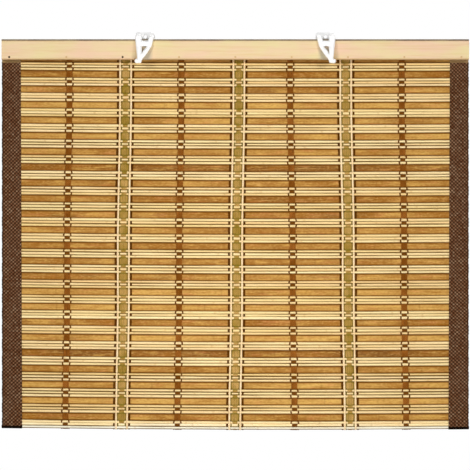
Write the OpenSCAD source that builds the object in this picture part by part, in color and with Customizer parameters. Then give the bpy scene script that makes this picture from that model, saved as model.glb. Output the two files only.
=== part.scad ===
// Roll-up blind: a woven mat of flat slats and round sticks, nailed behind a wooden head rail
// that hangs on the wall in two moulded clips. Millimetres, +Z up, front towards -Y.
// The origin lies on the wall, midway between the two wall screws.

/* [Mat] */
// Width of the blind over its edge bindings
blind_w = 610; // [420:1:900]
// Number of flat slats, one in each row
slat_count = 24; // [6:1:40]
// Height of a flat slat
slat_h = 9.3; // [7:0.1:14]
// Thickness of a flat slat in its middle
slat_t = 2.2; // [1.8:0.1:3]
// How far each face of a slat bulges
slat_crown = 0.3; // [0.1:0.05:0.4]
// Number of round sticks between two slats
stick_count = 3; // [2:1:5]
// Distance from one stick to the next
stick_pitch = 3.68; // [3:0.02:5]
// How far a stick presses into its neighbour
stick_bite = 0.11; // [0.08:0.01:0.2]

/* [See-through gaps] */
// Height of a gap between a slat and the stick below it
gap_h = 0.7; // [0.4:0.1:1]
// Distance from the end of a gap to the nearest warp or binding
gap_margin = 5; // [2:0.5:12]

/* [Warps] */
// Distance from the middle of the outer warps to the ends of the blind
warp_margin = 84.5; // [60:0.5:110]
// Width of a brown warp's middle band, which covers the slats and every other stick
brown_w = 8; // [4:0.5:12]
// Width of the strand on either side of it, which covers the other sticks
flank_w = 1.9; // [1:0.1:3]
// Width of a green warp on the slats
green_w = 11.8; // [9:0.2:14]
// Width of its core, which covers the outer sticks and parts round the middle one
core_w = 5.8; // [3:0.2:7]
// Width of a cream cord beside the green band
cream_w = 2.5; // [1.5:0.1:3]
// Width of a dark cord outside the cream one
dark_w = 2.7; // [1.5:0.1:3]
// Height of the yarn where its strands cross between two reeds
crossing_h = 0.8; // [0.5:0.1:1.2]
// Thickness of the yarn over the mat's face
yarn_t = 0.6; // [0.4:0.05:0.8]
// Space between two cords that lie side by side
yarn_gap = 0.2; // [0.1:0.05:0.5]
// Length of the slope where a warp dips from a stick to a slat
dip_slope = 1.3; // [1:0.1:2]

/* [Edge bindings] */
// Visible width of the tape on each face
binding_w = 25; // [15:0.5:40]
// Thickness of the tape
tape_t = 0.6; // [0.4:0.05:1]
// Height of the turned hem at the foot of the tape
hem_h = 4; // [2:0.5:8]
// Extra thickness of the hem
hem_t = 0.5; // [0.3:0.1:0.8]

/* [Head rail] */
// Height of the rail
rail_h = 26.5; // [22:0.5:40]
// Depth of the rail from front to back
rail_d = 14; // [12:0.5:24]
// Rounding of the rail's long edges
rail_edge_r = 1.5; // [0.5:0.1:3]
// How much of the top slat shows below the rail
slat_show = 3; // [0.5:0.1:5]

/* [Brads] */
// Diameter of a brad's shank
brad_d = 1.6; // [1.2:0.1:2.2]
// Diameter of a brad's head
brad_head_d = 2.6; // [2.4:0.1:4]
// Thickness of a brad's head, sunk flush in the rail
brad_head_t = 0.8; // [0.5:0.1:1.2]
// Distance from the outer brads to the ends of the blind
brad_inset = 10; // [6:0.5:14]

/* [Hangers] */
// Distance between the two wall screws
hanger_spacing = 236; // [228:1:246]
// Half width of the outer strand at the rail's top edge
outer_top_r = 4.4; // [3:0.1:5]
// Half width of the outer strand at its foot
outer_foot_r = 2.8; // [2:0.1:2.9]
// Half width of the inner strand
strand_r = 2.1; // [1.6:0.1:2.5]
// Half height of the crossbar
bar_r = 2.6; // [1.6:0.1:3]
// Half height of the toe that turns outwards at the foot
toe_r = 3; // [2.9:0.1:3.6]
// Depth of the strands in front of the rail
strand_t = 5; // [3:0.2:7]
// Distance from the screw's line to the strand on either side of it at the top
arm_reach = 8.4; // [7:0.2:9]
// Distance from the screw's line to the bend in the inner strand
knee_reach = 5.4; // [4:0.2:7]
// Depth of that bend below the rail's top edge
knee_drop = 9; // [7:0.5:12]
// How far the foot of the clip lies outwards of the screw's line
foot_lean = 6.8; // [3:0.2:7]
// Length of the toe outwards from the foot
toe_reach = 3.6; // [1:0.2:5]
// Depth of the crossbar below the rail's top edge
crossbar_drop = 4.6; // [3:0.2:7]
// How far the foot reaches under the rail from its front face
foot_reach = 9; // [5:0.5:10]
// Width of the foot and of the two arms over the rail
arm_w = 4; // [3:0.2:4]
// Thickness of the foot and of the two arms
arm_t = 4.2; // [3:0.2:5]
// Rounding of the wall pad's upper corners
pad_corner_r = 4; // [1:0.5:6]
// Diameter of the hole for the wall screw
screw_hole_d = 4.4; // [3.5:0.1:5]
// Height of the wall screw above the rail's top edge
screw_rise = 4; // [3.5:0.1:6]
// Material left above the wall screw's hole
screw_wall = 3.5; // [3:0.5:6]

/* [Clearances] */
// Gap between rigid pieces that seat on each other
seat_gap = 0.1; // [0.05:0.05:0.2]
// Gap between the mat and the cloth or yarn round it
wrap_gap = 0.15; // [0.1:0.05:0.25]
// Radial gap round a brad
brad_gap = 0.05; // [0.02:0.01:0.1]
// Gap between the wall and the thickest part of the hanging mat
wall_gap = 0.5; // [0.3:0.1:3]
// Gap between the wall pad's lower edge and the mat's top edge
lip_gap = 2; // [1:0.1:3]

/* [Hidden] */
$fn = 48;

// Number of warp columns, brown and green by turns
warp_count = 7;
// Oversize of a cut, so that it passes the face it opens
cut_over = 1;

// Section of the mat, measured from its middle plane
stick_r = stick_pitch / 2 + stick_bite;
mat_half = max(stick_r, slat_t / 2);
crest = mat_half + wrap_gap;
dip = slat_t / 2 + wrap_gap;
wrap_half = crest + max(tape_t, yarn_t);
row_pitch = slat_h + stick_count * stick_pitch;
group_h = stick_count * stick_pitch;
crown_r = (slat_h * slat_h / 4 + slat_crown * slat_crown) / (2 * slat_crown);

// Places from the wall to the front: the pad of a clip is as thick as the mat with its hem
pad_t = 2 * wrap_half + hem_t + wall_gap;
rail_back_y = -pad_t - seat_gap;
rail_front_y = rail_back_y - rail_d;
mat_y = rail_back_y + seat_gap + wrap_half;

// Heights, from the wall screws down
rail_top_z = -screw_rise;
rail_bottom_z = rail_top_z - rail_h;
first_slat_z = rail_bottom_z - slat_show;
mat_top_z = first_slat_z + slat_h + group_h + stick_bite;
mat_bottom_z = slat_z(slat_count - 1) - group_h - stick_bite;
pad_lip = rail_top_z - mat_top_z - lip_gap;
brad_z = rail_bottom_z + (slat_h - slat_show) / 2;
brad_tip_y = mat_y + slat_t / 2 - slat_crown;

// Widths
mat_w = blind_w - 2 * wrap_half;
warp_spacing = (blind_w - 2 * warp_margin) / (warp_count - 1);
brown_half = brown_w / 2 + flank_w;
column_half = green_w / 2 + cream_w + dark_w + 2 * yarn_gap;
cream_x = green_w / 2 + yarn_gap + cream_w / 2;
dark_x = cream_x + cream_w / 2 + yarn_gap + dark_w / 2;

// Lower edge of the slat in row k, counted from the top
function slat_z(k) = first_slat_z - k * row_pitch;

// Middle of warp column i, counted from the left
function warp_x(i) = (i - (warp_count - 1) / 2) * warp_spacing;

// Half the width that warp column i covers: brown ones are even, green ones odd
function warp_half(i) = i % 2 == 0 ? brown_half : column_half;

// Left and right ends of bay i between two columns or between a column and a binding
function bay_left(i) = i == 0 ? -blind_w / 2 + binding_w : warp_x(i - 1) + warp_half(i - 1);
function bay_right(i) = i == warp_count ? blind_w / 2 - binding_w : warp_x(i) - warp_half(i);

// Places of all brads along the rail
brad_xs = concat(
    [-blind_w / 2 + brad_inset],
    [for (i = [0 : warp_count - 1]) warp_x(i)],
    [blind_w / 2 - brad_inset]
);

// A section drawn in Y and Z, extruded along X about the middle
module along_x(length, at = 0) {
    translate([at - length / 2, 0, 0])
        rotate([90, 0, 90])
            linear_extrude(height = length)
                children();
}

// A rectangle with exact round corners, centred
module rounded_rect(size, r) {
    square([size.x - 2 * r, size.y], center = true);
    square([size.x, size.y - 2 * r], center = true);
    for (sx = [-1, 1], sy = [-1, 1])
        translate([sx * (size.x / 2 - r), sy * (size.y / 2 - r)])
            circle(r = r);
}

// A flat bar from p to q with round ends, drawn as arcs and their common tangents
module taper(p, q, rp, rq) {
    d = q - p;
    heading = atan2(d.y, d.x);
    swing = acos((rp - rq) / norm(d));
    left = [cos(heading + swing), sin(heading + swing)];
    right = [cos(heading - swing), sin(heading - swing)];
    polygon([p + rp * left, q + rq * left, q + rq * right, p + rp * right]);
    translate(p)
        circle(r = rp);
    translate(q)
        circle(r = rq);
}

// Section of one slat: a flat strip with a gentle bulge on both faces
module slat_section() {
    intersection() {
        square([slat_t, slat_h], center = true);
        translate([slat_t / 2 - crown_r, 0])
            circle(r = crown_r, $fn = 720);
        translate([crown_r - slat_t / 2, 0])
            circle(r = crown_r, $fn = 720);
    }
}

// Section of a group of sticks, hung below height z
module stick_group_section(z) {
    for (i = [0 : stick_count - 1])
        translate([mat_y, z - (i + 0.5) * stick_pitch])
            circle(r = stick_r);
}

// Section of the whole mat
module mat_section() {
    stick_group_section(first_slat_z + slat_h + group_h);
    for (k = [0 : slat_count - 1]) {
        translate([mat_y, slat_z(k) + slat_h / 2])
            slat_section();
        stick_group_section(slat_z(k));
    }
}

// Bore for a brad, from front_y back to the brad's tip
module brad_bore(x, front_y) {
    translate([x, front_y, brad_z])
        rotate([-90, 0, 0])
            cylinder(h = brad_tip_y + cut_over - front_y, d = brad_d + 2 * brad_gap);
}

// Corner points of a warp's front face, dipping over each slat, at a height above the mat
function warp_front(lift) = [
    for (k = [0 : slat_count - 1])
        let (top = slat_z(k) + slat_h, foot = slat_z(k), run = dip_slope / 3)
            each [
                [mat_y - crest - lift, top + 2 * run],
                [mat_y - dip - lift, top - run],
                [mat_y - dip - lift, foot + run],
                [mat_y - crest - lift, foot - 2 * run]
            ]
];

// Closed outline of a warp that goes down the front and up the back
module warp_outline(lift) {
    top = mat_top_z + wrap_gap + lift;
    foot = mat_bottom_z - wrap_gap - lift;
    polygon(concat(
        [[mat_y + crest + lift, top], [mat_y - crest - lift, top]],
        warp_front(lift),
        [[mat_y - crest - lift, foot], [mat_y + crest + lift, foot]]
    ));
}

// Heights at which the groups of sticks hang
group_tops = concat(
    [first_slat_z + slat_h + group_h],
    [for (k = [0 : slat_count - 1]) slat_z(k)]
);

// A window where a warp's middle goes behind a reed, between two heights
module window(middle_w, foot, top) {
    translate([-middle_w / 2, foot + crossing_h / 2])
        square([middle_w, top - foot - crossing_h]);
}

// A notch on either side where only a warp's middle goes over a reed
module side_notches(middle_w, full_w, foot, top) {
    difference() {
        window(full_w + 2 * cut_over, foot, top);
        window(middle_w, foot, top);
    }
}

// Openings in a warp's face: windows on every other stick, from the first or the second on,
// and notches beside the rest, on the slats too where the warp narrows there
module weave_openings(middle_w, full_w, first_window, narrow_on_slats) {
    for (top = group_tops, i = [0 : stick_count - 1])
        let (z = top - i * stick_pitch)
            if (i % 2 == first_window)
                window(middle_w, z - stick_pitch, z);
            else
                side_notches(middle_w, full_w, z - stick_pitch, z);
    if (narrow_on_slats)
        for (k = [0 : slat_count - 1])
            side_notches(middle_w, full_w, slat_z(k), slat_z(k) + slat_h);
}

// A warp round the mat: plain behind, woven over and under the reeds in front
module warp_band(x, middle_w, full_w, first_window, narrow_on_slats) {
    difference() {
        along_x(full_w, x)
            difference() {
                warp_outline(yarn_t);
                warp_outline(0);
            }
        translate([x, mat_y, 0])
            rotate([90, 0, 0])
                linear_extrude(height = wrap_half + cut_over)
                    weave_openings(middle_w, full_w, first_window, narrow_on_slats);
        brad_bore(x, rail_back_y);
    }
}

// A cord that runs straight over the sticks, round the mat
module straight_cord(x, width) {
    top = mat_top_z + wrap_gap;
    foot = mat_bottom_z - wrap_gap;
    middle = [mat_y, (top + foot) / 2];
    along_x(width, x)
        translate(middle)
            difference() {
                square([2 * (crest + yarn_t), top - foot + 2 * yarn_t], center = true);
                square([2 * crest, top - foot], center = true);
            }
}

// A pair of cords at equal distances from the middle of column i
module cord_pair(i, offset, width) {
    for (side = [-1, 1])
        straight_cord(warp_x(i) + side * offset, width);
}

// Plan of the tape on the left edge, grown outwards and to the faces
module tape_plan(half, right_x) {
    bend_x = -blind_w / 2 + wrap_half;
    translate([bend_x, mat_y])
        circle(r = half);
    translate([bend_x, mat_y - half])
        square([right_x - bend_x, 2 * half]);
}

// Tape folded round the left edge of the mat, with a turned hem at its foot
module edge_binding() {
    inner_x = -blind_w / 2 + binding_w;
    foot_z = mat_bottom_z - wrap_gap - tape_t;
    difference() {
        union() {
            translate([0, 0, foot_z])
                linear_extrude(height = mat_top_z - foot_z)
                    tape_plan(crest + tape_t, inner_x);
            translate([0, 0, foot_z])
                linear_extrude(height = hem_h)
                    tape_plan(crest + tape_t + hem_t, inner_x);
        }
        translate([0, 0, foot_z + tape_t])
            linear_extrude(height = mat_top_z - foot_z)
                tape_plan(crest, inner_x + cut_over);
        brad_bore(-blind_w / 2 + brad_inset, rail_back_y);
    }
}

// Front of the right clip: two strands that run together, a crossbar and a toe
module strand_outline() {
    top_z = seat_gap + arm_t / 2;
    outer_top = [arm_reach, top_z];
    inner_top = [-arm_reach, top_z];
    knee = [-knee_reach, -knee_drop];
    foot = [foot_lean, -rail_h - seat_gap - arm_t / 2];
    taper(outer_top, foot, outer_top_r, outer_foot_r);
    taper(inner_top, knee, strand_r, strand_r);
    taper(knee, foot, strand_r, strand_r);
    taper([arm_reach, -crossbar_drop], [-knee_reach, -crossbar_drop], bar_r, bar_r);
    taper(foot, foot + [toe_reach, 0], outer_foot_r, toe_r);
}

// Clip of the right side: hooks over the rail, carries it on its foot and screws to the wall
module hanger_clip() {
    back_y = rail_front_y - seat_gap;
    arm_from = back_y - strand_t / 2;
    difference() {
        union() {
            translate([0, back_y, 0])
                rotate([90, 0, 0])
                    linear_extrude(height = strand_t)
                        strand_outline();
            for (x = [-arm_reach, arm_reach])
                translate([x - arm_w / 2, arm_from, seat_gap])
                    cube([arm_w, -pad_t / 2 - arm_from, arm_t]);
            translate([foot_lean - arm_w / 2, arm_from, -rail_h - seat_gap - arm_t])
                cube([arm_w, rail_front_y + foot_reach - arm_from, arm_t]);
            wall_pad();
        }
        translate([0, cut_over, screw_rise])
            rotate([90, 0, 0])
                cylinder(h = pad_t + 2 * cut_over, d = screw_hole_d);
    }
}

// Flat pad of a clip against the wall, round at its upper corners
module wall_pad() {
    left = -arm_reach - outer_top_r;
    right = arm_reach + outer_top_r;
    top = screw_rise + screw_hole_d / 2 + screw_wall;
    rotate([90, 0, 0])
        linear_extrude(height = pad_t) {
            translate([left, -pad_lip])
                square([right - left, top - pad_corner_r + pad_lip]);
            translate([left + pad_corner_r, -pad_lip])
                square([right - left - 2 * pad_corner_r, top + pad_lip]);
            for (x = [left + pad_corner_r, right - pad_corner_r])
                translate([x, top - pad_corner_r])
                    circle(r = pad_corner_r);
        }
}

module head_rail() {
    middle = [(rail_front_y + rail_back_y) / 2, (rail_top_z + rail_bottom_z) / 2];
    color("burlywood")
        difference() {
            along_x(blind_w)
                translate(middle)
                    rounded_rect([rail_d, rail_h], rail_edge_r);
            for (x = brad_xs) {
                brad_bore(x, rail_front_y - cut_over);
                translate([x, rail_front_y - cut_over, brad_z])
                    rotate([-90, 0, 0])
                        cylinder(h = brad_head_t + brad_gap + cut_over, d = brad_head_d + 2 * brad_gap);
            }
        }
}

module reed_mat() {
    color("peru")
        difference() {
            along_x(mat_w)
                mat_section();
            for (k = [0 : slat_count - 1], i = [0 : warp_count])
                if ((k + i) % 2 == 0)
                    translate([bay_left(i) + gap_margin, mat_y - crest, slat_z(k) - gap_h / 2])
                        cube([bay_right(i) - bay_left(i) - 2 * gap_margin, 2 * crest, gap_h]);
            for (x = brad_xs)
                brad_bore(x, rail_back_y);
        }
}

module left_edge_binding() {
    color("saddlebrown")
        edge_binding();
}

module right_edge_binding() {
    color("saddlebrown")
        mirror([1, 0, 0])
            edge_binding();
}

module brown_warp(n) {
    color("sienna")
        warp_band(warp_x(2 * (n - 1)), brown_w, 2 * brown_half, 0, true);
}

module green_warp(n) {
    color("darkkhaki")
        warp_band(warp_x(2 * n - 1), core_w, green_w, 1, false);
}

module cream_cords(n) {
    color("wheat")
        cord_pair(2 * n - 1, cream_x, cream_w);
}

module dark_cords(n) {
    color("maroon")
        cord_pair(2 * n - 1, dark_x, dark_w);
}

module rail_brads() {
    color("dimgray")
        for (x = brad_xs)
            translate([x, rail_front_y, brad_z])
                rotate([-90, 0, 0]) {
                    cylinder(h = brad_tip_y - rail_front_y, d = brad_d);
                    cylinder(h = brad_head_t, d = brad_head_d);
                }
}

module left_hanger() {
    color("white")
        mirror([1, 0, 0])
            translate([hanger_spacing / 2, 0, rail_top_z])
                hanger_clip();
}

module right_hanger() {
    color("white")
        translate([hanger_spacing / 2, 0, rail_top_z])
            hanger_clip();
}

head_rail();
reed_mat();
left_edge_binding();
right_edge_binding();
brown_warp(1);  // brown_warp_1
brown_warp(2);  // brown_warp_2
brown_warp(3);  // brown_warp_3
brown_warp(4);  // brown_warp_4
green_warp(1);  // green_warp_1
green_warp(2);  // green_warp_2
green_warp(3);  // green_warp_3
cream_cords(1);  // cream_cords_1
cream_cords(2);  // cream_cords_2
cream_cords(3);  // cream_cords_3
dark_cords(1);  // dark_cords_1
dark_cords(2);  // dark_cords_2
dark_cords(3);  // dark_cords_3
rail_brads();
left_hanger();
right_hanger();
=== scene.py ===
"""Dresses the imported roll-up blind: bamboo slats and sticks, woven yarn, tape, rail and clips."""
import math
import random
from collections import namedtuple

import bmesh
import bpy
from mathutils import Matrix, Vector, noise

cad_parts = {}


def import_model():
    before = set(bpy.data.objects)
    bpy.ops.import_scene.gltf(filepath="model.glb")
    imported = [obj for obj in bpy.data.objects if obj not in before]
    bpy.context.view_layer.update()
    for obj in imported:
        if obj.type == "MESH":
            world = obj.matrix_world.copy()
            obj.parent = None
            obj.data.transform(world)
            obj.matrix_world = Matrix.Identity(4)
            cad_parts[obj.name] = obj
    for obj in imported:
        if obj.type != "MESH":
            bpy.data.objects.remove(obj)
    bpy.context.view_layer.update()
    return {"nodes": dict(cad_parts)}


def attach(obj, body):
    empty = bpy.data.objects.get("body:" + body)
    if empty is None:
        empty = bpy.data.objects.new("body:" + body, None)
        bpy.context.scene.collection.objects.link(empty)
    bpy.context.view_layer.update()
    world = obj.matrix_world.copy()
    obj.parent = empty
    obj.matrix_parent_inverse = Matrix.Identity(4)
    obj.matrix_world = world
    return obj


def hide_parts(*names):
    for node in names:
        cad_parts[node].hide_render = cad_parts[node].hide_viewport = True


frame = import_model()

# Sizes in millimetres, as in the part's source
MM = 0.001
SLAT_COUNT = 24
SLAT_H = 9.3
SLAT_T = 2.2
STICK_COUNT = 3
STICK_PITCH = 3.68
GROUP_H = STICK_COUNT * STICK_PITCH
ROW_PITCH = SLAT_H + GROUP_H
FIRST_SLAT_Z = -33.5
MAT_TOP_Z = FIRST_SLAT_Z + SLAT_H + GROUP_H
MAT_FOOT_Z = FIRST_SLAT_Z - (SLAT_COUNT - 1) * ROW_PITCH - GROUP_H
MAT_Y = -3.7
MAT_HALF_W = 302.3
BLIND_HALF_W = 305
HEM_H = 4
RAIL_TOP_Z = -4
RAIL_FOOT_Z = -30.5
RAIL_H = RAIL_TOP_Z - RAIL_FOOT_Z
WARP_SPACING = 73.5
WARP_COUNT = 7
CLIP_X = 118
CLIP_BACK_Y = -20.6

# Marks in the finishes, each from where it begins to where it is full: painted shade along the rail's top
# edge and its rounded foot, its end grain, and a painted grey shadow beside a clip, with how strong it is
TOP_SHADE_Z = (RAIL_TOP_Z - 3, RAIL_TOP_Z - 1.7)
FOOT_SHADE_Z = (RAIL_FOOT_Z + 2.4, RAIL_FOOT_Z)
END_GRAIN_X = (BLIND_HALF_W - 0.2, BLIND_HALF_W - 0.05)
CLIP_SHADE_Z = (RAIL_TOP_Z - 5, RAIL_TOP_Z - 12)
CLIP_SHADE_BESIDE = (11, 5)
CLIP_SHADE_SHARE = 0.55
# Painted shade on the tape's fold, its pale cut end below the rail, on its front, and the depth of a
# clip's glow
FOLD_SHADE_X = (BLIND_HALF_W - 2.2, BLIND_HALF_W - 0.6)
CUT_END_Z = (RAIL_FOOT_Z - 4.2, RAIL_FOOT_Z - 2.6)
TAPE_FRONT_Y = (MAT_Y, MAT_Y - 1)
GLOW_Y = (CLIP_BACK_Y, CLIP_BACK_Y + 8)
# The two brads that are left bare, and how far from its middle a brad's colour ends and is full
BARE_BRADS_X = (-295, -147)
BRAD_REACH = (6, 5)

# How a reed or strand strays along its length: how far, in about how many millimetres, in which noise
Drift = namedtuple("Drift", "reach stretch step")
# Nodes along a reed: least and most distance between two, half the length of one, and how much it swells
Nodes = namedtuple("Nodes", "least most half swell")
# Seeds of the random draws for reeds, yarn and tapes, and the span of each reed's and strand's own seed
REED_SEED = 11
YARN_SEED = 23
TAPE_SEED = 5
SEED_SPAN = 50
# Distance between the sections drawn along a reed
STATION_STEP = 9

# Sticks: radius and its spread, points round one, nodes, and how they stray
STICK_R = 1.98
STICK_SIZES = (0.98, 1.02)
STICK_SIDES = 12
STICK_NODES = Nodes(130, 260, 1.2, 0.07)
STICK_THICKNESS = Drift(0.02, 60, 0)
STICK_DEPTH = Drift(0.15, 70, 7)
STICK_HEIGHT = Drift(0.12, 90, 13)
STICK_TONE = Drift(0.8, 110, 23)
STICK_GROOVE = Drift(0.45, 45, 31)
# Tones are dark below 0 and pale above it. Grooves say how much painted shade a stick takes along its
# upper and lower edge, where it meets its neighbours
STICK_TONES = (-1, 1)
GROOVES = (0.45, 1.1)
# The last three sticks, at the mat's foot
LAST_TONES = (1, 2, 3)
LAST_GROOVES = ((0.9, 0.35), (0.35, 0.85), (0.8, 1.3))

# Slats: nodes, how they stray, their tones, and the rows that are plainly darker or paler
SLAT_NODES = Nodes(150, 320, 0.8, 0.1)
SLAT_TONE = Drift(1, 70, 3)
SLAT_DEPTH = Drift(0.12, 120, 7)
SLAT_HEIGHT = Drift(0.1, 150, 13)
SLAT_TONES = (-0.85, 0.55)
DARK_SLATS = (7, 19)
DARK_TONE = -1.7
PALE_SLATS = (3, 18, 22)
PALE_TONE = 0.75
# A slat's section: heights at which it is drawn as shares of its half height, how far it laps over the
# sticks, how much thinner it is at its edges, and how much its corners are rounded off
SLAT_STEPS = (-1, -0.93, -0.8, -0.5, -0.15, 0.15, 0.5, 0.8, 0.93, 1)
SLAT_LAP = 0.12
SLAT_BULGE = 0.3
SLAT_CORNER = 0.4
# Where the painted shade along its upper and its lower edge begins, and over what share it darkens
EDGE_SHADE_UPPER = 0.5
EDGE_SHADE_LOWER = 0.62
EDGE_SHADE_RUN = 0.35

# Sag of the mat at its top and foot, where it is deepest, and how much lower its right end hangs
SAG_TOP = 1.1
SAG_FOOT = 1.8
SAG_X = 40
TILT = 0.3
# Two bands of rows that lie closer together: lift, and middle and reach as shares of the height
LIFTS = ((1, 0.2, 0.3), (1.8, 0.78, 0.24))

# Yarn: distance between the points along a strand, points round it, thickness, and how it strays
YARN_STEP = 1.1
YARN_SIDES = 6
YARN_T = 1.1
YARN_STRAY = Drift(0.2, 25, 0)
YARN_SWELL = Drift(0.1, 9, 5)
# How far a strand reaches past the mat's top and foot, how far inside a slat's edges it lies flat on the
# slat, and how far it sinks into it
YARN_ABOVE = 0.3
YARN_BELOW = 0.4
YARN_FLAT = 1.5
YARN_SINK = 0.1
# How much painted shade a strand takes where it dives between a slat and a stick
DIVE_SHADE = 1
# Where a strand lies on the slat and on the three sticks below it: 1 in front, -1 behind
OVER_SLAT_AND_MIDDLE = (1, -1, 1, -1)
OVER_OUTER_STICKS = (-1, 1, -1, 1)
OVER_SLAT_AND_OUTER = (1, 1, -1, 1)
OVER_ALL = (1, 1, 1, 1)
BEHIND_ALL = (-1, -1, -1, -1)
# A strand's width, its way of weaving, what multiplies its offset on the sticks, and how dark it is where
# it is pressed in on the slats and on the sticks, partly painted shade
Strand = namedtuple("Strand", "width pattern pinch press", defaults=(1, (0, 0)))
BROWN_BAND = Strand(2.2, OVER_SLAT_AND_MIDDLE, 0.85, (0, 0.8))
BROWN_FLANK = Strand(2.2, OVER_OUTER_STICKS, 1.35, (0.9, 0.9))
GREEN_CORE = Strand(2.4, OVER_SLAT_AND_OUTER, 0.62)
GREEN_RIM = Strand(1.6, OVER_SLAT_AND_MIDDLE, 1, (0.55, 1))
CREAM_FRONT = Strand(2.5, OVER_ALL)
CREAM_BACK = Strand(2.5, BEHIND_ALL)
DARK_CORD = Strand(2.8, OVER_SLAT_AND_MIDDLE)
# How far from the middle of its column each strand lies on the slats
BROWN_BAND_X = (-2.9, -0.97, 0.97, 2.9)
BROWN_FLANK_X = 3.5
GREEN_CORE_X = (-3.3, -1.1, 1.1, 3.3)
GREEN_RIM_X = 4.9
CREAM_X = 7.15
DARK_X = 10.05

# How far the columns lean outwards from top to foot, left of the middle and right of it
LEAN_LEFT = -5.4
LEAN_RIGHT = 6
# The two stretches in which they lean: share of the lean, and start and run as shares of the height
LEAN_PARTS = ((0.55, 0.12, 0.4), (0.45, 0.65, 0.35))
# How far right of its even place each column stands
COLUMN_SHIFTS = (0.8, 0.8, 0.3, 2, 1.3, 0.5, 0.2)

# Edge tape: width that shows at its top, how much wider it is at its foot, how far its fold stands out
# past the blind's edge, half the thickness of the fold, and how far it hangs below the mat
TAPE_W = 24.1
TAPE_FLARE = 2
TAPE_OUT = 0.6
TAPE_HALF_T = 2.5
TAPE_BELOW = 0.75
# Its weave: distance between threads, points drawn for each, how far they stand out, their levels, and the
# level that lies in the tape's own surface
WEAVE_PITCH = 2.3
WEAVE_STEPS = 3
WEAVE_RELIEF = 0.42
THREAD_OVER = 1
THREAD_UNDER = 0.3
THREAD_GAP = 0.45
WEAVE_LEVEL = 0.6
# How far the hem stands out and over what height, how far the tape dips over a slat and over what height,
# and how far its two long edges are turned in
HEM_LIFT = 0.45
HEM_EASE = 0.8
SLAT_DIP = 0.3
DIP_EASE = 1.5
EDGE_TURN = 0.8

# Clips: the right one's strands from end to end as (x, z, half width), measured from the screw's
# line and the rail's top edge
CLIP_STRANDS = {
    "outer": ((8.4, 2.2, 4.4), (6.8, -28.7, 2.8)),
    "knee": ((-8.4, 2.2, 2.1), (-5.4, -9, 2.1)),
    "inner": ((-5.4, -9, 2.1), (6.8, -28.7, 2.1)),
    "bar": ((8.4, -4.6, 2.6), (-5.4, -4.6, 2.6)),
    "toe": ((6.8, -28.7, 2.8), (10.4, -28.7, 3)),
}
# Size of a clip's faces before they are softened, how often they are, and by what share each time
CLIP_VOXEL = 0.5
CLIP_SOFTENING = 6
CLIP_SOFT_SHARE = 0.5
# How much of its proud height a strand loses at its edges, how far the toe bends off the rail, and over
# what depth a clip's front comes to take part in the bend and the shifts below
CLIP_ROUND = 0.6
CLIP_BEND = 4.5
CLIP_FRONT = 2
# How far the inner strand is filled out, over what height above the rail's foot that grows, and how far
# from the outer strand it is whole
CLIP_FULLER = 1.4
CLIP_FADE = 8
CLIP_HOLE = 2.6
# How far the outer strand is drawn in, at what height above the rail's foot, and over what reach
CLIP_WAIST = 1.2
WAIST_ABOVE = 4.5
WAIST_REACH = 9
# How much lower the crossbar's lower edge lies, over how many of its half heights that fades, and how far
# past its ends it holds
CLIP_BAR = 2.2
BAR_FADE = 3
BAR_END = 0.1

# Camera and stage, in metres, with the photograph's pixels in millimetres
PHOTO_PX = 470
PX_MM = 1.309
VIEW_X = -0.0004
VIEW_CENTRE_Z = -0.2595
VIEW_DISTANCE = 5
SENSOR = 36
FLOOR_Z = -0.9
FLOOR_REACH = 4
# How much of the floor's own white shows below the blind, and from where to where it turns all white
FLOOR_WHITE = 0.6
FLOOR_NEAR = 0.4
FLOOR_FAR = 3
SOFT_LIGHT = 0.13
# Lamps: name, place, what it points at, size and power
LAMPS = (
    ("middle", (0, -0.55, -0.36), (0, 0, -0.34), 0.4, 1.9),
    ("left", (-0.74, -0.97, 0.22), (0, 0, -0.35), 0.15, 5.85),
    ("right", (0.74, -0.97, 0.22), (0, 0, -0.35), 0.15, 5.85),
    ("back", (0.4, 1.6, 1.1), (0, 0, -0.4), 1.5, 45),
)


def linear(red, green, blue):
    """An sRGB colour of 0 to 255 as the linear colour that a shader takes."""
    def channel(value):
        share = value / 255
        return share / 12.92 if share <= 0.04045 else ((share + 0.055) / 1.055) ** 2.4
    return (channel(red), channel(green), channel(blue), 1)


def drift(kind, place, seed):
    """How far something has strayed at a place along it: smooth noise round 0."""
    line = seed + kind.step
    return kind.reach * noise.noise(Vector((place / kind.stretch, line, 0.5 * line)))


def smooth(share):
    """An S-shaped step from 0 to 1."""
    share = min(max(share, 0), 1)
    return share * share * (3 - 2 * share)


def hump(share, middle, reach):
    """1 at the middle, falling smoothly to 0 at a reach from it."""
    return smooth(1 - abs(share - middle) / reach)


def share_down(z):
    """0 at the mat's top, 1 at its foot."""
    return (MAT_TOP_Z - z) / (MAT_TOP_Z - MAT_FOOT_Z)


def sag(x, z):
    """How far a point of the mat hangs below its even place: more in the middle of each row, a
    little more on the right, and less in two bands of rows that lie closer together."""
    down = share_down(z)
    droop = (SAG_TOP + (SAG_FOOT - SAG_TOP) * down) * (1 - ((x - SAG_X) / MAT_HALF_W) ** 2)
    lift = sum(most * hump(down, middle, reach) for most, middle, reach in LIFTS)
    return droop + TILT * x / MAT_HALF_W - lift


def slat_z(row):
    """Lower edge of a row's slat."""
    return FIRST_SLAT_Z - row * ROW_PITCH


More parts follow.
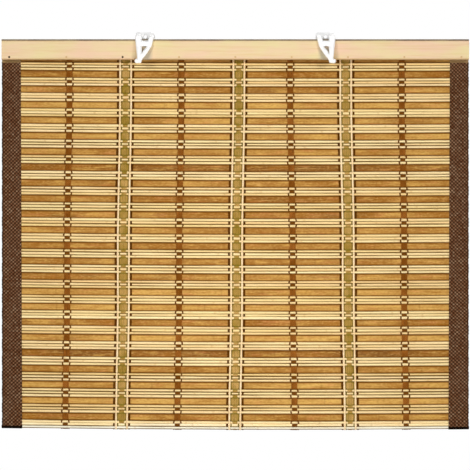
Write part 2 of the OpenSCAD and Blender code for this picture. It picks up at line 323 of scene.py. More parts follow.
class Shader:
    """A principled material whose colour and bump come from nodes."""

    def __init__(self, name, **sockets):
        self.material = bpy.data.materials.new(name)
        self.material.use_nodes = True
        self.tree = self.material.node_tree
        self.surface = self.tree.nodes["Principled BSDF"]
        for socket, value in sockets.items():
            self.surface.inputs[socket.replace("_", " ")].default_value = value

    def node(self, kind, **settings):
        made = self.tree.nodes.new(kind)
        for key, value in settings.items():
            setattr(made, key, value)
        return made

    def put(self, socket, value):
        """Links a socket's source, or sets its value."""
        if isinstance(value, bpy.types.NodeSocket):
            self.tree.links.new(value, socket)
        else:
            socket.default_value = value

    def value(self, name):
        """A value that the mesh carries at each point."""
        return self.node("ShaderNodeAttribute", attribute_name=name).outputs["Fac"]

    def axis(self, name):
        """One of the three object coordinates, in millimetres."""
        split = self.node("ShaderNodeSeparateXYZ")
        self.put(split.inputs[0], self.node("ShaderNodeTexCoord").outputs["Object"])
        return self.maths("DIVIDE", split.outputs[name], MM)

    def place(self, scale, seed=None):
        """Object coordinates stretched by scale, moved on by a seed that each reed carries."""
        coordinates = self.node("ShaderNodeTexCoord").outputs["Object"]
        stretched = self.node("ShaderNodeVectorMath", operation="MULTIPLY")
        self.put(stretched.inputs[0], coordinates)
        self.put(stretched.inputs[1], scale)
        if seed is None:
            return stretched.outputs[0]
        moved = self.node("ShaderNodeVectorMath", operation="ADD")
        self.put(moved.inputs[0], stretched.outputs[0])
        self.put(moved.inputs[1], seed)
        return moved.outputs[0]

    def noise(self, scale, detail=3, rough=0.55, seed=None):
        """Cloudy noise with about scale swings to the metre along each axis."""
        made = self.node("ShaderNodeTexNoise")
        self.put(made.inputs["Vector"], self.place(scale, seed))
        self.put(made.inputs["Scale"], 1)
        self.put(made.inputs["Detail"], detail)
        self.put(made.inputs["Roughness"], rough)
        return made.outputs["Fac"]

    def waves(self, stretch, scale, distortion, detail, **settings):
        """Rings or bands that swing between 0 and 1."""
        made = self.node("ShaderNodeTexWave", wave_profile="SIN", **settings)
        self.put(made.inputs["Vector"], self.place(stretch))
        self.put(made.inputs["Scale"], scale)
        self.put(made.inputs["Distortion"], distortion)
        self.put(made.inputs["Detail"], detail)
        return made.outputs["Fac"]

    def spread(self, value, low, high, to_low=0, to_high=1):
        """Maps low to high onto another span, clamped."""
        made = self.node("ShaderNodeMapRange", clamp=True)
        for name, number in (("Value", value), ("From Min", low), ("From Max", high),
                             ("To Min", to_low), ("To Max", to_high)):
            self.put(made.inputs[name], number)
        return made.outputs["Result"]

    def maths(self, operation, first, second=0):
        made = self.node("ShaderNodeMath", operation=operation)
        self.put(made.inputs[0], first)
        self.put(made.inputs[1], second)
        return made.outputs[0]

    def mix(self, share, first, second):
        made = self.node("ShaderNodeMix", data_type="RGBA")
        self.put(made.inputs[0], share)
        self.put(made.inputs[6], first)
        self.put(made.inputs[7], second)
        return made.outputs[2]

    def tint(self, colour, shade, value, low, high, share=1):
        """A colour that takes on a share of a shade as a value goes from low to high."""
        return self.mix(self.spread(value, low, high, 0, share), colour, linear(*shade))

    def colour(self, source):
        self.put(self.surface.inputs["Base Color"], source)

    def bump(self, height, strength, distance_mm):
        made = self.node("ShaderNodeBump")
        self.put(made.inputs["Strength"], strength)
        self.put(made.inputs["Distance"], distance_mm * MM)
        self.put(made.inputs["Height"], height)
        self.put(self.surface.inputs["Normal"], made.outputs["Normal"])


def rail_wood():
    """Pale planed softwood: long grain, pink and yellow patches, and painted shade at its edges and by the
    clips.
    """
    made = Shader("rail_wood", Roughness=0.55, Specular_IOR_Level=0.2)
    patches = made.noise((18, 50, 50), 3)
    grain = made.noise((14, 420, 420), 4, 0.6)
    pores = made.noise((40, 1500, 1500), 2)
    top_shade_share = made.spread(patches, 0.3, 0.7, 0.65, 1)
    height = made.axis("Z")
    off_middle = made.maths("ABSOLUTE", made.axis("X"))
    colour = made.tint(linear(223, 204, 153), (228, 193, 162), patches, 0.35, 0.65)
    colour = made.tint(colour, (213, 175, 123), grain, 0.48, 0.72, 0.45)
    colour = made.tint(colour, (188, 146, 98), pores, 0.6, 0.8, 0.25)
    # Painted shade along the rail's top edge, stronger in some patches than in others
    colour = made.tint(colour, (86, 70, 52), height, *TOP_SHADE_Z, top_shade_share)
    # Painted shade on the rounded arris at the rail's foot, darker towards the bottom
    colour = made.tint(colour, (176, 136, 82), height, *FOOT_SHADE_Z, 0.7)
    # Painted grey shadow on the rail beside each clip, strongest low down and fading towards the top
    off_clip = made.maths("ABSOLUTE", made.maths("SUBTRACT", off_middle, CLIP_X))
    beside = made.spread(off_clip, *CLIP_SHADE_BESIDE, 0, CLIP_SHADE_SHARE)
    clip_shade = made.maths("MULTIPLY", beside, made.spread(height, *CLIP_SHADE_Z))
    colour = made.mix(clip_shade, colour, linear(150, 150, 140))
    rings = made.waves((1, 1, 1), 120, 1.5, 2, wave_type="RINGS", rings_direction="X")
    end_colour = made.mix(rings, linear(217, 182, 134), linear(196, 156, 108))
    end_grain = made.spread(off_middle, *END_GRAIN_X)
    made.colour(made.mix(end_grain, colour, end_colour))
    long_grain = made.maths("SUBTRACT", 1, end_grain)
    made.bump(made.maths("MULTIPLY", grain, long_grain), 0.35, 0.3)
    return made.material


def bamboo_slat():
    """Golden bamboo strip: long fibres, cloudy tone, stains, nodes, and painted shade along its two edges.
    """
    made = Shader("bamboo_slat", Roughness=0.5, Specular_IOR_Level=0.08)
    seed = made.value("seed")
    tone = made.value("tone")
    clouds = made.noise((34, 60, 160), 3, 0.6, seed)
    fibres = made.noise((24, 900, 1100), 3, 0.6, seed)
    blush = made.noise((40, 80, 260), 2, 0.5, seed)
    grain = made.noise((260, 420, 600), 2, 0.6, seed)
    stains = made.noise((11, 40, 90), 3, 0.6, seed)
    colour = made.tint(linear(144, 92, 26), (205, 160, 82), tone, -1, 1)
    colour = made.tint(colour, (100, 60, 18), tone, -1, -2, 0.8)
    colour = made.tint(colour, (159, 102, 28), clouds, 0.5, 0.7, 0.6)
    colour = made.tint(colour, (211, 164, 80), clouds, 0.48, 0.32, 0.6)
    colour = made.tint(colour, (144, 90, 20), fibres, 0.48, 0.7, 0.55)
    colour = made.tint(colour, (219, 175, 97), fibres, 0.45, 0.3, 0.45)
    colour = made.tint(colour, (198, 127, 73), blush, 0.55, 0.75, 0.5)
    colour = made.tint(colour, (112, 76, 34), stains, 0.6, 0.75, 0.5)
    colour = made.tint(colour, (132, 80, 20), grain, 0.5, 0.75, 0.4)
    colour = made.tint(colour, (226, 182, 108), grain, 0.5, 0.25, 0.3)
    colour = made.tint(colour, (123, 75, 23), made.value("node"), 0, 1, 0.25)
    # Painted shade along the slat's upper and lower edge, where the sticks meet it
    colour = made.tint(colour, (106, 60, 0), made.value("edge_shade"), 0.1, 0.8, 0.95)
    made.colour(colour)
    made.bump(fibres, 0.4, 0.25)
    return made.material


def straw_stick():
    """Pale split reed: straw on its crest, with olive painted shade where it meets its neighbours."""
    made = Shader("straw_stick", Roughness=0.5, Specular_IOR_Level=0.1)
    seed = made.value("seed")
    tone = made.value("tone")
    clouds = made.noise((14, 60, 60), 3, 0.6, seed)
    fibres = made.noise((30, 1200, 1200), 2, 0.6, seed)
    grain = made.noise((380, 380, 500), 2, 0.6, seed)
    pink = made.tint(linear(233, 197, 134), (247, 221, 168), tone, -1, 1)
    green = made.tint(linear(232, 202, 134), (248, 226, 170), tone, -1, 1)
    colour = made.mix(made.spread(seed, 10, 40), pink, green)
    colour = made.tint(colour, (230, 188, 134), clouds, 0.5, 0.75, 0.5)
    colour = made.tint(colour, (198, 157, 94), fibres, 0.55, 0.75, 0.35)
    colour = made.tint(colour, (206, 160, 96), grain, 0.55, 0.78, 0.4)
    colour = made.tint(colour, (245, 240, 217), tone, 1.8, 3)
    colour = made.tint(colour, (182, 134, 69), made.value("node"), 0, 1, 0.3)
    # Painted shade where the stick meets its neighbours
    colour = made.tint(colour, (109, 75, 0), made.value("edge_shade"), 0.14, 0.8, 0.95)
    made.colour(colour)
    made.bump(fibres, 0.35, 0.2)
    return made.material


def yarn(name, main, shade, light, pressed_shade):
    """Twisted matt yarn: slanting plies, fuzz, a tone that wanders, and darker where pressed, partly
    painted shade.
    """
    made = Shader(name, Roughness=0.9, Specular_IOR_Level=0.02)
    tones = made.noise((60, 60, 40), 3)
    fuzz = made.noise((2600, 2600, 1400), 2)
    plies = made.waves((1, 0.3, 1), 260, 1.2, 1, bands_direction="DIAGONAL")
    colour = made.tint(linear(*main), light, tones, 0.35, 0.65)
    colour = made.tint(colour, shade, plies, 0.45, 0, 0.6)
    colour = made.tint(colour, light, fuzz, 0.55, 0.8, 0.35)
    # Darker where the strand is pressed in and where it dives between a slat and a stick, partly painted
    # shade
    colour = made.tint(colour, pressed_shade, made.value("press"), 0, 1, 0.85)
    made.colour(colour)
    made.bump(plies, 0.5, 0.3)
    return made.material


def woven_tape():
    """Brown plain-woven tape: painted shade, near black, on its lower threads and in the holes, and near
    black at the hem.
    """
    made = Shader("woven_tape", Roughness=0.92, Specular_IOR_Level=0.02)
    fuzz = made.noise((1800, 1800, 1800), 3)
    tones = made.noise((50, 50, 30), 2)
    fleck = made.value("fleck")
    colour = made.tint(linear(134, 98, 72), (126, 86, 58), tones, 0.35, 0.65)
    colour = made.tint(colour, (164, 133, 104), fleck, 0.6, 1, 0.75)
    colour = made.tint(colour, (92, 50, 28), fleck, 0.35, 0, 0.75)
    # Painted shade on the lower threads and in the holes of the weave
    colour = made.tint(colour, (32, 13, 2), made.value("weave"), 0.9, 0.25)
    colour = made.tint(colour, (73, 44, 25), fuzz, 0.4, 0.7, 0.3)
    colour = made.tint(colour, (10, 5, 2), made.value("hem"), 0, 1, 0.98)
    # Painted shade where the tape turns round its fold
    colour = made.tint(colour, (40, 22, 10), made.maths("ABSOLUTE", made.axis("X")), *FOLD_SHADE_X, 0.6)
    cut_end = made.spread(made.axis("Z"), *CUT_END_Z, 0, 0.6)
    in_front = made.spread(made.axis("Y"), *TAPE_FRONT_Y)
    colour = made.mix(made.maths("MULTIPLY", cut_end, in_front), colour, linear(196, 164, 112))
    made.colour(colour)
    made.bump(fuzz, 0.4, 0.3)
    return made.material


def white_moulding():
    """White moulded plastic with a faint flow texture, which glows a little deeper in."""
    made = Shader("white_moulding", Roughness=0.38, Subsurface_Scale=0.01, Subsurface_Radius=(1, 1, 1))
    glow = made.spread(made.axis("Y"), *GLOW_Y, 0.3, 0.8)
    made.put(made.surface.inputs["Subsurface Weight"], glow)
    flow = made.noise((120, 120, 60), 3)
    specks = made.noise((900, 900, 900), 2)
    colour = made.tint(linear(254, 254, 253), (250, 250, 249), flow, 0.3, 0.7)
    colour = made.tint(colour, (206, 206, 200), specks, 0.68, 0.8, 0.4)
    made.colour(colour)
    made.bump(flow, 0.15, 0.3)
    return made.material


def brad_steel():
    """Brad heads: two of them bare and brown, the rest dabbed over to match the rail."""
    made = Shader("brad_steel", Roughness=0.7, Specular_IOR_Level=0.1)
    place = made.axis("X")
    blotch = made.noise((700, 700, 700), 3)
    bare = 0
    for middle in BARE_BRADS_X:
        off = made.maths("ABSOLUTE", made.maths("SUBTRACT", place, middle))
        bare = made.maths("MAXIMUM", bare, made.spread(off, *BRAD_REACH))
    colour = made.mix(bare, linear(214, 176, 128), linear(26, 14, 4))
    colour = made.tint(colour, (120, 86, 54), blotch, 0.45, 0.75, 0.5)
    made.colour(colour)
    made.bump(blotch, 0.3, 0.2)
    return made.material


class Build:
    """Points, faces and named values per point, gathered for one piece."""

    def __init__(self, *names):
        self.points = []
        self.faces = []
        self.values = {name: [] for name in names}

    def add(self, point, *values):
        self.points.append(point)
        for name, value in zip(self.values, values):
            self.values[name].append(value)
        return len(self.points) - 1

    def tube(self, rings):
        """Closes equal rings of point numbers into a tube with capped ends."""
        sides = len(rings[0])
        for upper, lower in zip(rings, rings[1:]):
            for j in range(sides):
                k = (j + 1) % sides
                self.faces.append((upper[j], upper[k], lower[k], lower[j]))
        self.faces.append(tuple(reversed(rings[0])))
        self.faces.append(tuple(rings[-1]))

    def grid(self, rows):
        for upper, lower in zip(rows, rows[1:]):
            for j in range(len(upper) - 1):
                self.faces.append((upper[j], upper[j + 1], lower[j + 1], lower[j]))

    def piece(self, name, material, slot, *nodes):
        """Makes the object, hung on the frame in place of the named CAD nodes."""
        mesh = bpy.data.meshes.new(name)
        mesh.from_pydata([(x * MM, y * MM, z * MM) for x, y, z in self.points], [], self.faces)
        for value_name, numbers in self.values.items():
            layer = mesh.attributes.new(value_name, "FLOAT", "POINT")
            layer.data.foreach_set("value", numbers)
        return hang(name, mesh, material, slot, *nodes)


def hang(name, mesh, material, slot, *nodes):
    """Finishes a mesh as a piece of the blind that stands for CAD nodes."""
    shape = bmesh.new()
    shape.from_mesh(mesh)
    bmesh.ops.recalc_face_normals(shape, faces=shape.faces)
    shape.to_mesh(mesh)
    shape.free()
    mesh.polygons.foreach_set("use_smooth", [True] * len(mesh.polygons))
    mesh.materials.clear()
    mesh.materials.append(material)
    piece = bpy.data.objects.new(name, mesh)
    bpy.context.scene.collection.objects.link(piece)
    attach(piece, "root")
    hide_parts(*nodes)
    return piece


def node_places(kind, rng):
    """Places of the nodes along one reed, in millimetres from its middle."""
    places = []
    at = -MAT_HALF_W + rng.uniform(0, kind.most)
    while at < MAT_HALF_W:
        places.append(at)
        at += rng.uniform(kind.least, kind.most)
    return places


def stations(nodes, half):
    """Places along a reed where its section is drawn, closer together at each node."""
    count = round(2 * MAT_HALF_W / STATION_STEP)
    places = {-MAT_HALF_W + 2 * MAT_HALF_W * i / count for i in range(count + 1)}
    for node in nodes:
        near = (node - 2 * half, node - half, node, node + half, node + 2 * half)
        places.update(at for at in near if abs(at) < MAT_HALF_W)
    return sorted(places)


def at_node(x, nodes, half):
    """1 at a node, falling to 0 at its full length from there."""
    return max([smooth(1 - abs(x - node) / (2 * half)) for node in nodes], default=0)


def add_stick(build, z, tone, grooves, rng):
    """One round stick with its own thickness, wander and nodes. The painted shade along its grooves is
    drawn at random where none is given."""
    radius = STICK_R * rng.uniform(*STICK_SIZES)
    seed = rng.uniform(0, SEED_SPAN)
    drawn = rng.uniform(*GROOVES), rng.uniform(*GROOVES)
    upper, lower = grooves or drawn
    nodes = node_places(STICK_NODES, rng)
    rings = []
    for x in stations(nodes, STICK_NODES.half):
        node = at_node(x, nodes, STICK_NODES.half)
        r = radius * (1 + drift(STICK_THICKNESS, x, seed) + STICK_NODES.swell * node)
        middle_y = MAT_Y + drift(STICK_DEPTH, x, seed)
        middle_z = z - sag(x, z) + drift(STICK_HEIGHT, x, seed)
        shade = tone + drift(STICK_TONE, x, seed)
        dark = 1 + drift(STICK_GROOVE, x, seed)
        ring = []
        for j in range(STICK_SIDES):
            angle = 2 * math.pi * j / STICK_SIDES
            out, up = math.cos(angle), math.sin(angle)
            # Painted shade along the stick's upper and lower side, where it meets its neighbours
            edge_shade = abs(up) * (upper if up > 0 else lower) * dark
            ring.append(build.add((x, middle_y - r * out, middle_z + r * up), shade, edge_shade, node, seed))
        rings.append(ring)
    build.tube(rings)


def slat_section():
    """Points of a slat's section as (depth, height, painted shade near an edge)."""
    half_h = SLAT_H / 2 + SLAT_LAP
    half_t = SLAT_T / 2
    front = []
    for share in SLAT_STEPS:
        bulge = half_t - SLAT_BULGE * share ** 2 - (SLAT_CORNER if abs(share) == 1 else 0)
        # Painted shade near the upper and lower edge, wider along the upper one
        edge_shade = smooth((abs(share) - (EDGE_SHADE_UPPER if share > 0 else EDGE_SHADE_LOWER)) / EDGE_SHADE_RUN)
        front.append((-bulge, share * half_h, edge_shade))
    return front + [(-depth, height, edge_shade) for depth, height, edge_shade in reversed(front)]


def add_slat(build, row, rng):
    """One flat slat with its own tone, wander and nodes."""
    seed = rng.uniform(0, SEED_SPAN)
    tone = rng.uniform(*SLAT_TONES)
    if row in DARK_SLATS:
        tone = DARK_TONE
    if row in PALE_SLATS:
        tone = PALE_TONE
    nodes = node_places(SLAT_NODES, rng)
    section = slat_section()
    middle = slat_z(row) + SLAT_H / 2
    rings = []
    for x in stations(nodes, SLAT_NODES.half):
        node = at_node(x, nodes, SLAT_NODES.half)
        shade = tone + drift(SLAT_TONE, x, seed)
        shift_y = MAT_Y + drift(SLAT_DEPTH, x, seed)
        shift_z = middle - sag(x, middle) + drift(SLAT_HEIGHT, x, seed)
        swell = 1 + SLAT_NODES.swell * node
        ring = [
            build.add((x, shift_y + depth * swell, shift_z + height), shade, edge_shade, node, seed)
            for depth, height, edge_shade in section
        ]
        rings.append(ring)
    build.tube(rings)


def reeds():
    """The mat's slats and sticks, each reed by itself."""
    rng = random.Random(REED_SEED)
    slats = Build("tone", "edge_shade", "node", "seed")
    sticks = Build("tone", "edge_shade", "node", "seed")
    tops = [MAT_TOP_Z] + [slat_z(row) for row in range(SLAT_COUNT)]
    for row in range(SLAT_COUNT):
        add_slat(slats, row, rng)
    for top in tops:
        for i in range(STICK_COUNT):
            z = top - (i + 0.5) * STICK_PITCH
            if top == tops[-1]:
                add_stick(sticks, z, LAST_TONES[i], LAST_GROOVES[i], rng)
            else:
                add_stick(sticks, z, rng.uniform(*STICK_TONES), None, rng)
    slats.piece("reed_slats", bamboo_slat(), "reed", "reed_mat")
    sticks.piece("reed_sticks", straw_stick(), "reed", "reed_mat")


def weave_keys(pattern):
    """Depths that a strand passes on its way down, as (height, depth, on a slat or not). In front of the
    last stick lie only the strands that stay in front of everything."""
    keys = [(MAT_TOP_Z + YARN_ABOVE, 0, 0)]

    def on_sticks(top):
        for i in range(STICK_COUNT):
            z = top - (i + 0.5) * STICK_PITCH
            last = z - STICK_PITCH < MAT_FOOT_Z
            side = -1 if last and pattern != OVER_ALL else pattern[1 + i]
            keys.append((z, side * (STICK_R + YARN_T / 2), 0))

    on_sticks(MAT_TOP_Z)
    for row in range(SLAT_COUNT):
        foot = slat_z(row)
        depth = pattern[0] * (SLAT_T / 2 - YARN_SINK + YARN_T / 2)
        keys.append((foot + SLAT_H - YARN_FLAT, depth, 1))
        keys.append((foot + YARN_FLAT, depth, 1))
        on_sticks(foot)
    keys.append((MAT_FOOT_Z - YARN_BELOW, 0, 0))
    return keys


def weave_path(keys):
    """Points (height, depth, share on a slat) at equal steps, eased between the keys."""
    path = []
    steps = round((keys[0][0] - keys[-1][0]) / YARN_STEP)
    key = 0
    for i in range(steps + 1):
        z = keys[0][0] + (keys[-1][0] - keys[0][0]) * i / steps
        while key < len(keys) - 2 and z < keys[key + 1][0]:
            key += 1
        upper, lower = keys[key], keys[key + 1]
        share = smooth((upper[0] - z) / (upper[0] - lower[0]))
        depth = upper[1] + share * (lower[1] - upper[1])
        on_slat = upper[2] + share * (lower[2] - upper[2])
        path.append((z, depth, on_slat))
    return path


def column_x(column, z):
    """Middle of a warp column at a height: the columns lean outwards towards the foot."""
    middle = (column - (WARP_COUNT - 1) / 2) * WARP_SPACING
    lean = LEAN_LEFT if column <= WARP_COUNT // 2 else LEAN_RIGHT
    down = share_down(z)
    leant = sum(part * smooth((down - start) / run) for part, start, run in LEAN_PARTS)
    return middle + COLUMN_SHIFTS[column] + lean * (leant - 0.5)


def add_strand(build, column, offset, strand, rng):
    """One strand of yarn, woven through the mat at an offset from its column's middle."""
    seed = rng.uniform(0, SEED_SPAN)
    path = weave_path(weave_keys(strand.pattern))
    on_slats, on_sticks = strand.press
    rings = []
    for i, (z, depth, on_slat) in enumerate(path):
        before, after = path[max(i - 1, 0)], path[min(i + 1, len(path) - 1)]
        along = Vector((after[0] - before[0], after[1] - before[1])).normalized()
        inwards = strand.pinch + (1 - strand.pinch) * on_slat
        x = column_x(column, z) + offset * inwards + drift(YARN_STRAY, z, seed)
        swell = 1 + drift(YARN_SWELL, z, seed)
        middle_z = z - sag(x, z)
        # Partly painted shade: darker where pressed in, and where the strand dives between a slat and a
        # stick
        dark = on_sticks + (on_slats - on_sticks) * on_slat + DIVE_SHADE * (1 - abs(2 * on_slat - 1))
        ring = []
        for j in range(YARN_SIDES):
            angle = 2 * math.pi * (j + 0.5) / YARN_SIDES
            across = math.cos(angle) * strand.width / 2 * swell
            out = math.sin(angle) * YARN_T / 2 * swell
            point = (x + across, MAT_Y - depth + out * along.x, middle_z + out * along.y)
            ring.append(build.add(point, dark))
        rings.append(ring)
    build.tube(rings)


def brown_column(number, material, rng):
    """A band over the slats and the middle stick, flanked by two strands that go the other way."""
    column = 2 * (number - 1)
    build = Build("press")
    for offset in BROWN_BAND_X:
        add_strand(build, column, offset, BROWN_BAND, rng)
    for side in (-1, 1):
        add_strand(build, column, side * BROWN_FLANK_X, BROWN_FLANK, rng)
    build.piece(f"brown_yarn_{number}", material, "brown_yarn", f"brown_warp_{number}")


def green_column(number, materials, rng):
    """A green band that parts round the middle stick, with cream and dark strands beside it."""
    column = 2 * number - 1
    green, cream, dark = Build("press"), Build("press"), Build("press")
    for offset in GREEN_CORE_X:
        add_strand(green, column, offset, GREEN_CORE, rng)
    for side in (-1, 1):
        add_strand(green, column, side * GREEN_RIM_X, GREEN_RIM, rng)
        add_strand(cream, column, side * CREAM_X, CREAM_FRONT, rng)
        add_strand(cream, column, side * CREAM_X, CREAM_BACK, rng)
        add_strand(dark, column, side * DARK_X, DARK_CORD, rng)
    green.piece(f"green_yarn_{number}", materials["green"], "green_yarn", f"green_warp_{number}")
    cream.piece(f"cream_yarn_{number}", materials["cream"], "cream_yarn", f"cream_cords_{number}")
    dark.piece(f"dark_yarn_{number}", materials["dark"], "dark_yarn", f"dark_cords_{number}")


def warps():
    """The brown columns and the green ones, which stand by turns."""
    rng = random.Random(YARN_SEED)
    brown = yarn("brown_yarn", (124, 71, 17), (100, 50, 5), (157, 96, 37), (98, 58, 14))
    materials = {
        "green": yarn("green_yarn", (157, 125, 49), (128, 100, 30), (202, 160, 94), (92, 88, 12)),
        "cream": yarn("cream_yarn", (241, 208, 157), (219, 180, 124), (248, 224, 183), (229, 198, 144)),
        "dark": yarn("dark_yarn", (80, 43, 4), (52, 24, 0), (98, 56, 12), (58, 32, 0)),
    }
    for number in range(1, WARP_COUNT // 2 + 2):
        brown_column(number, brown, rng)
    for number in range(1, WARP_COUNT // 2 + 1):
        green_column(number, materials, rng)


def tape_plan():
    """Length of the tape across its fold, and a function from a place on it to plan and normal."""
    bend_x = -BLIND_HALF_W - TAPE_OUT + TAPE_HALF_T
    straight = TAPE_W + TAPE_OUT - TAPE_HALF_T
    arc = math.pi * TAPE_HALF_T
    length = 2 * straight + arc

    def at(u, down):
        if u < straight:
            flared = (straight - u) * (1 + TAPE_FLARE * down / straight)
            return bend_x + flared, MAT_Y - TAPE_HALF_T, 0, -1
        if u > straight + arc:
            return bend_x + u - straight - arc, MAT_Y + TAPE_HALF_T, 0, 1
        turn = math.pi * (u - straight) / arc
        side, out = -math.sin(turn), -math.cos(turn)
        return bend_x + TAPE_HALF_T * side, MAT_Y + TAPE_HALF_T * out, side, out

    return length, at


def over_slat(z):
    """1 where the tape lies over a slat, 0 over the sticks."""
    below = (FIRST_SLAT_Z + SLAT_H - z) % ROW_PITCH
    return smooth(below / DIP_EASE) * smooth((SLAT_H - below) / DIP_EASE)


def edge_tape(name, side, material, node, rng):
    """Woven tape folded round one edge, each thread crossing in relief, with a hem at its foot."""
    length, plan = tape_plan()
    top, foot = MAT_TOP_Z, MAT_FOOT_Z - TAPE_BELOW
    threads = round(length / WEAVE_PITCH)
    picks = round((top - foot) / WEAVE_PITCH)
    flecks = [[rng.random() for _ in range(threads + 1)] for _ in range(picks + 1)]
    build = Build("weave", "fleck", "hem")
    rows = []
    for v in range(picks * WEAVE_STEPS + 1):
        z = top + (foot - top) * v / (picks * WEAVE_STEPS)
        hem = smooth((foot + HEM_H - z) / HEM_EASE)
        row = []
        for u in range(-1, threads * WEAVE_STEPS + 2):
            inside = min(max(u, 0), threads * WEAVE_STEPS)
            x, y, out_x, out_y = plan(length * inside / (threads * WEAVE_STEPS), share_down(z))
            weave = THREAD_GAP
            if inside % WEAVE_STEPS > 0 and v % WEAVE_STEPS > 0:
                over = (inside // WEAVE_STEPS + v // WEAVE_STEPS) % 2 == 0
                weave = THREAD_OVER if over else THREAD_UNDER
            lift = WEAVE_RELIEF * (weave - WEAVE_LEVEL) + HEM_LIFT * hem - SLAT_DIP * over_slat(z)
            if u != inside:
                lift -= EDGE_TURN
            fleck = flecks[v // WEAVE_STEPS][inside // WEAVE_STEPS]
            place = -side * (x + lift * out_x)
            point = (place, y + lift * out_y, z - sag(place, z))
            row.append(build.add(point, weave, fleck, hem))
        rows.append(row)
    build.grid(rows)
    last = rows[-1]
    for j in range(len(last) // 2 - 1):
        build.faces.append((last[j], last[j + 1], last[-2 - j], last[-1 - j]))
    piece = build.piece(name, material, "binding_tape", node)


def edge_tapes():
    rng = random.Random(TAPE_SEED)
    material = woven_tape()
    edge_tape("left_tape", -1, material, "left_edge_binding", rng)
    edge_tape("right_tape", 1, material, "right_edge_binding", rng)


def strand_place(x, z):
    """Where a point of the right clip's front lies: 0 on the middle of the nearest strand to 1 at
    its edge, and how far it moves sideways and up."""
    point = Vector((x, z))
    share, shift_x, shift_z = 1, 0, 0
    fade = smooth((z + RAIL_H) / CLIP_FADE)
    waist = hump(z, WAIST_ABOVE - RAIL_H, WAIST_REACH)
    for strand, (start, end) in CLIP_STRANDS.items():
        first, run = Vector(start[:2]), Vector(end[:2]) - Vector(start[:2])
        along = min(max((point - first).dot(run) / run.length_squared, 0), 1)
        off = point - first - along * run
        half = start[2] + along * (end[2] - start[2])
        share = min(share, off.length / half)
        if strand == "outer":
            hole = smooth((off.length - half) / CLIP_HOLE)
            shift_x -= CLIP_WAIST * waist * min(max(off.x / half, 0), 1)
        if strand in ("inner", "knee") and abs(off.y) < half:
            shift_x = min(shift_x, CLIP_FULLER * fade * max(off.x / half, -1))
        if strand in ("inner", "knee") and off.x > 0:
            shift_x = max(shift_x, CLIP_FULLER * fade * hole * min(off.x / half, 1))
        if strand == "bar" and abs(off.x) < BAR_END:
            below = max(-off.y / half, 0)
            shift_z = -CLIP_BAR * min(below, 1) * smooth(1 - (below - 1) / BAR_FADE)
    return share, shift_x, shift_z


def shape_clip(mesh, side):
    """Rounds a clip's strands, fills out the inner one and the crossbar, draws in the outer one above
    the toe, and bends both off the rail towards the toe, as their shadows in the photograph show."""
    for vertex in mesh.vertices:
        x, y, z = vertex.co / MM
        front = min(max((CLIP_BACK_Y + CLIP_FRONT - y) / CLIP_FRONT, 0), 1)
        share, shift_x, shift_z = strand_place(side * x - CLIP_X, z - RAIL_TOP_Z)
        proud = max(CLIP_BACK_Y - y, 0)
        lost = CLIP_ROUND * proud * (1 - math.sqrt(1 - share ** 2))
        bend = CLIP_BEND * smooth((RAIL_TOP_Z - z) / RAIL_H)
        moved = Vector((x + side * front * shift_x, y + lost - front * bend, z + front * shift_z))
        vertex.co = moved * MM


def moulded_clip(name, node, side, material):
    """A clip with the soft edges of a moulding, grown from its CAD solid."""
    rough = bpy.data.objects.new(name + "_rough", frame["nodes"][node].data.copy())
    bpy.context.scene.collection.objects.link(rough)
    remesh = rough.modifiers.new("remesh", "REMESH")
    remesh.mode = "VOXEL"
    remesh.voxel_size = CLIP_VOXEL * MM
    soften = rough.modifiers.new("soften", "SMOOTH")
    soften.iterations = CLIP_SOFTENING
    soften.factor = CLIP_SOFT_SHARE
    depsgraph = bpy.context.evaluated_depsgraph_get()
    mesh = bpy.data.meshes.new_from_object(rough.evaluated_get(depsgraph))
    bpy.data.objects.remove(rough)
    shape_clip(mesh, side)
    hang(name, mesh, material, "hanger_plastic", node)


def clips():
    material = white_moulding()
    moulded_clip("left_clip", "left_hanger", -1, material)
    moulded_clip("right_clip", "right_hanger", 1, material)


def finish_node(node, material):
    """Gives a CAD node that keeps its shape its finish."""
    mesh = frame["nodes"][node].data
    mesh.materials.clear()
    mesh.materials.append(material)


def add_lamp(name, place, target, size, power):
    lamp = bpy.data.lights.new(name, "AREA")
    lamp.size = size
    lamp.energy = power
    stand = bpy.data.objects.new(name, lamp)
    stand.location = place
    stand.rotation_euler = (Vector(target) - Vector(place)).to_track_quat("-Z", "Y").to_euler()
    bpy.context.scene.collection.objects.link(stand)


def seen(tree):
    """1 for the rays that show the ground itself: from the camera, mirrored or through glass."""
    rays = tree.nodes.new("ShaderNodeLightPath")
    share = rays.outputs["Is Camera Ray"]
    for name in ("Is Glossy Ray", "Is Transmission Ray"):
        either = tree.nodes.new("ShaderNodeMath")
        either.operation = "MAXIMUM"
        tree.links.new(share, either.inputs[0])
        tree.links.new(rays.outputs[name], either.inputs[1])
        share = either.outputs[0]
    return share


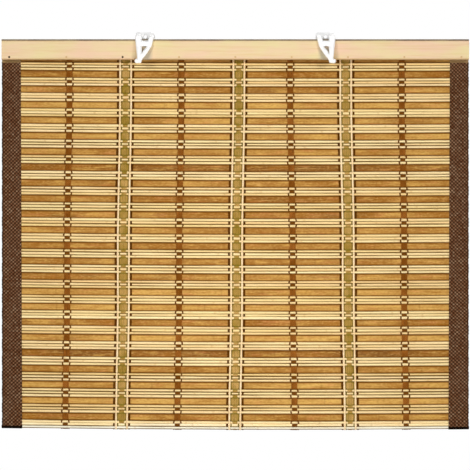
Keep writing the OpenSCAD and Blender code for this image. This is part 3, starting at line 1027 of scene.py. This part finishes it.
def world():
    """Even soft light all round, and a white ground where the camera looks past the blind."""
    made = bpy.data.worlds.new("studio")
    made.use_nodes = True
    tree = made.node_tree
    output = tree.nodes["World Output"]
    soft = tree.nodes["Background"]
    soft.inputs["Color"].default_value = (1, 1, 1, 1)
    soft.inputs["Strength"].default_value = SOFT_LIGHT
    ground = tree.nodes.new("ShaderNodeBackground")
    ground.inputs["Color"].default_value = (1, 1, 1, 1)
    pick = tree.nodes.new("ShaderNodeMixShader")
    tree.links.new(seen(tree), pick.inputs["Fac"])
    tree.links.new(soft.outputs[0], pick.inputs[1])
    tree.links.new(ground.outputs[0], pick.inputs[2])
    tree.links.new(pick.outputs[0], output.inputs["Surface"])
    bpy.context.scene.world = made


def floor():
    """A pale floor well below the blind. Part of its own white shows through its shading near the blind,
    and all of it far off."""
    mesh = bpy.data.meshes.new("floor")
    reach = FLOOR_REACH
    corners = [(-reach, -reach), (reach, -reach), (reach, reach), (-reach, reach)]
    mesh.from_pydata([(x, y, FLOOR_Z) for x, y in corners], [], [(0, 1, 2, 3)])
    made = Shader("floor", Roughness=0.9)
    clouds = made.noise((2, 2, 2), 2)
    made.colour(made.mix(clouds, linear(250, 250, 250), linear(246, 246, 246)))
    white = made.node("ShaderNodeEmission")
    pick = made.node("ShaderNodeMixShader")
    away = made.node("ShaderNodeVectorMath", operation="LENGTH")
    made.put(away.inputs[0], made.place((1, 1, 0)))
    white_share = made.spread(away.outputs["Value"], FLOOR_NEAR, FLOOR_FAR, FLOOR_WHITE, 1)
    made.put(pick.inputs["Fac"], made.maths("MULTIPLY", seen(made.tree), white_share))
    made.put(pick.inputs[1], made.surface.outputs["BSDF"])
    made.put(pick.inputs[2], white.outputs["Emission"])
    made.put(made.tree.nodes["Material Output"].inputs["Surface"], pick.outputs["Shader"])
    mesh.materials.append(made.material)
    plane = bpy.data.objects.new("floor", mesh)
    bpy.context.scene.collection.objects.link(plane)


def studio():
    bpy.context.scene.view_settings.view_transform = "Standard"
    world()
    floor()
    for lamp in LAMPS:
        add_lamp(*lamp)


def camera():
    """The photograph's frame: square on, with a long lens."""
    data = bpy.data.cameras.new("camera")
    data.sensor_width = SENSOR
    data.lens = SENSOR * VIEW_DISTANCE / (PHOTO_PX * PX_MM * MM)
    stand = bpy.data.objects.new("camera", data)
    stand.location = (VIEW_X, MAT_Y * MM - VIEW_DISTANCE, VIEW_CENTRE_Z)
    stand.rotation_euler = (math.radians(90), 0, 0)
    bpy.context.scene.collection.objects.link(stand)
    bpy.context.scene.camera = stand


reeds()
warps()
edge_tapes()
clips()
finish_node("head_rail", rail_wood())
finish_node("rail_brads", brad_steel())
studio()
camera()
